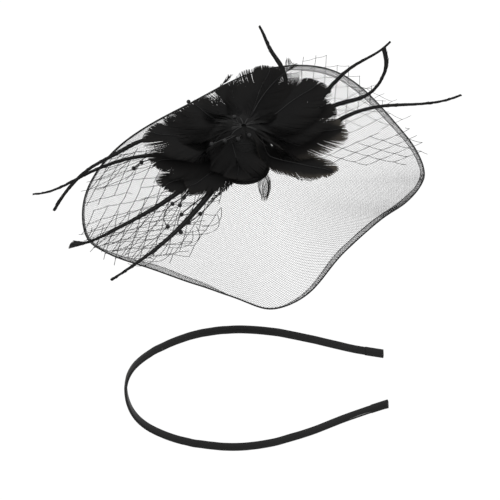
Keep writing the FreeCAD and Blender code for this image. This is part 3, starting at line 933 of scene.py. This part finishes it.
# %% The headband's sleeve
points, _ = corners_of("headband_cover")
centre = points.mean(axis=0)
_, _, axes = np.linalg.svd(points - centre, full_matrices=False)
across_band = axes[2] * np.sign(-axes[2][1])
flat = points - np.outer((points - centre) @ across_band, across_band)
turns_of = np.arctan2(flat[:, 2] - centre[2], flat[:, 0] - centre[0]) % (2 * math.pi)
bins = np.round(turns_of / (2 * math.pi) * 150).astype(int)
rows = [flat[bins == k].mean(axis=0) for k in np.unique(bins)]
middle_line = softened(np.array(rows), 2)
for end, beside in ((0, 1), (-1, -2)):
    away = middle_line[end] - middle_line[beside]
    away /= np.linalg.norm(away)
    near = np.linalg.norm(flat - middle_line[end], axis=1) < 12 * mm
    middle_line[end] += away * ((flat[near] - middle_line[end]) @ away).max()
band_middle, _, band_run = resample(middle_line, np.zeros(len(middle_line)), 240)
strip_half = np.ptp(points @ across_band) / 2
strip_thick = 0.8 * mm


def sleeve(line, half_width, half_thick, seam):
    """A strip with round edges along a line, with a seam along its inner face."""
    way = np.gradient(line, axis=0)
    way /= np.linalg.norm(way, axis=1)[:, None]
    off = np.cross(way, across_band)
    outline = []
    for k in range(8):
        turn = math.pi * (k / 7 - 0.5)
        outline.append((half_width - half_thick * 0.7 + half_thick * 0.7 * math.cos(turn),
                        half_thick * math.sin(turn)))
    other = [(-v, -u) for v, u in outline]
    inner = [(0.5 * mm, half_thick), (0.32 * mm, half_thick + seam), (0.0, half_thick - seam / 2),
             (-0.3 * mm, half_thick)]
    section = outline + inner + other
    verts, faces = [], []
    count = len(section)
    for k, at in enumerate(line):
        for v, u in section:
            verts.append(tuple(at + across_band * v + off[k] * u))
        if k:
            base = (k - 1) * count
            faces += [(base + m, base + (m + 1) % count, base + count + (m + 1) % count,
                       base + count + m) for m in range(count)]
    faces.append(tuple(range(count - 1, -1, -1)))
    last = (len(line) - 1) * count
    faces.append(tuple(range(last, last + count)))
    mesh = bpy.data.meshes.new("sleeve")
    mesh.from_pydata(verts, [], faces)
    holder = bpy.data.objects.new("sleeve", mesh)
    bpy.context.scene.collection.objects.link(holder)
    bpy.ops.object.select_all(action="DESELECT")
    holder.select_set(True)
    bpy.context.view_layer.objects.active = holder
    bpy.ops.object.mode_set(mode="EDIT")
    bpy.ops.mesh.select_all(action="SELECT")
    bpy.ops.mesh.normals_make_consistent(inside=False)
    bpy.ops.object.mode_set(mode="OBJECT")
    bpy.ops.object.shade_smooth_by_angle(angle=math.radians(40))
    bpy.data.objects.remove(holder)
    return mesh


satin = Paint("black_satin")
weave = satin.noise(2600.0, 2.0)
wrinkle = satin.noise(90.0, 3.0, 0.6)
satin_paint = satin.finish(
    Base_Color=satin.ramp(weave, (0.3, (0.004, 0.004, 0.0042)), (0.8, (0.010, 0.0098, 0.0095))),
    Roughness=0.4 + wrinkle * 0.2, Specular_IOR_Level=0.14, Sheen_Weight=0.02,
    Sheen_Roughness=0.3, Normal=satin.bump(weave * 0.3 + wrinkle, 0.25, 0.12 * mm))
seam_rise = 0.12 * mm
piece_of(sleeve(band_middle, strip_half, strip_thick, seam_rise), "satin_sleeve", satin_paint,
         "headband", ["headband_cover"])
wrap_over = 0.18 * mm          # how far a wrapped end stands off the sleeve
ends = []
for line in (band_middle[:8], band_middle[-8:]):
    wrap, _, _ = resample(line, np.zeros(len(line)), 16)
    ends.append(sleeve(wrap, strip_half + wrap_over, strip_thick + wrap_over, 0.05 * mm))
piece_of(joined(ends), "satin_end_wraps", satin_paint, "headband",
         ["headband_end_wraps"])
print("headband's line, mm", round(band_run / mm, 1))

# %% [markdown]
# ## The floor, the light and the camera
# The headpiece is shown as in a shop's picture: on white, with soft light from all round and
# no cast shadow to speak of, through a long lens from above the front.

# %% Stage
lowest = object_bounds()[0].z
bpy.ops.mesh.primitive_plane_add(size=12, location=(0, 0, lowest - 0.35))
floor = bpy.context.object
floor.name = "studio_floor"
floor_paint = Paint("studio_white")
floor.data.materials.append(floor_paint.finish(
    Base_Color=(0.05, 0.05, 0.05, 1), Roughness=1.0, Emission_Color=(1, 1, 1, 1),
    Emission_Strength=0.97, Specular_IOR_Level=0.0))

world = bpy.data.worlds.new("soft_room")
world.use_nodes = True
world.node_tree.nodes["Background"].inputs["Color"].default_value = (1, 1, 1, 1)
world.node_tree.nodes["Background"].inputs["Strength"].default_value = 1.0
bpy.context.scene.world = world


def soft_light(name, place, size, watts):
    light = bpy.data.lights.new(name, "AREA")
    light.energy, light.size = watts, size
    lamp = bpy.data.objects.new(name, light)
    lamp.location = place
    lamp.rotation_euler = (-Vector(place)).to_track_quat("-Z", "Y").to_euler()
    bpy.context.scene.collection.objects.link(lamp)


soft_light("key_light", (-1.2, -1.4, 2.2), 1.6, 26)
soft_light("fill_light", (1.6, -0.6, 1.8), 1.6, 14)
bpy.context.scene.view_settings.view_transform = "Standard"

elevation = math.radians(43)
distance = 1.6
scale = 1840.0                # picture widths of 500 to a metre, at the pads
across, above = 3.3 * mm, -44.6 * mm
picture_up = Vector((0, math.sin(elevation), math.cos(elevation)))
towards = Vector((0, -math.cos(elevation), math.sin(elevation)))
lens = bpy.data.cameras.new("long_lens")
lens.sensor_width = 36.0
lens.lens = 36.0 * scale * distance / 500.0
camera = bpy.data.objects.new("camera", lens)
camera.location = Vector((across, 0, 0)) + picture_up * above + towards * distance
camera.rotation_euler = (math.pi / 2 - elevation, 0, 0)
bpy.context.scene.collection.objects.link(camera)
bpy.context.scene.camera = camera
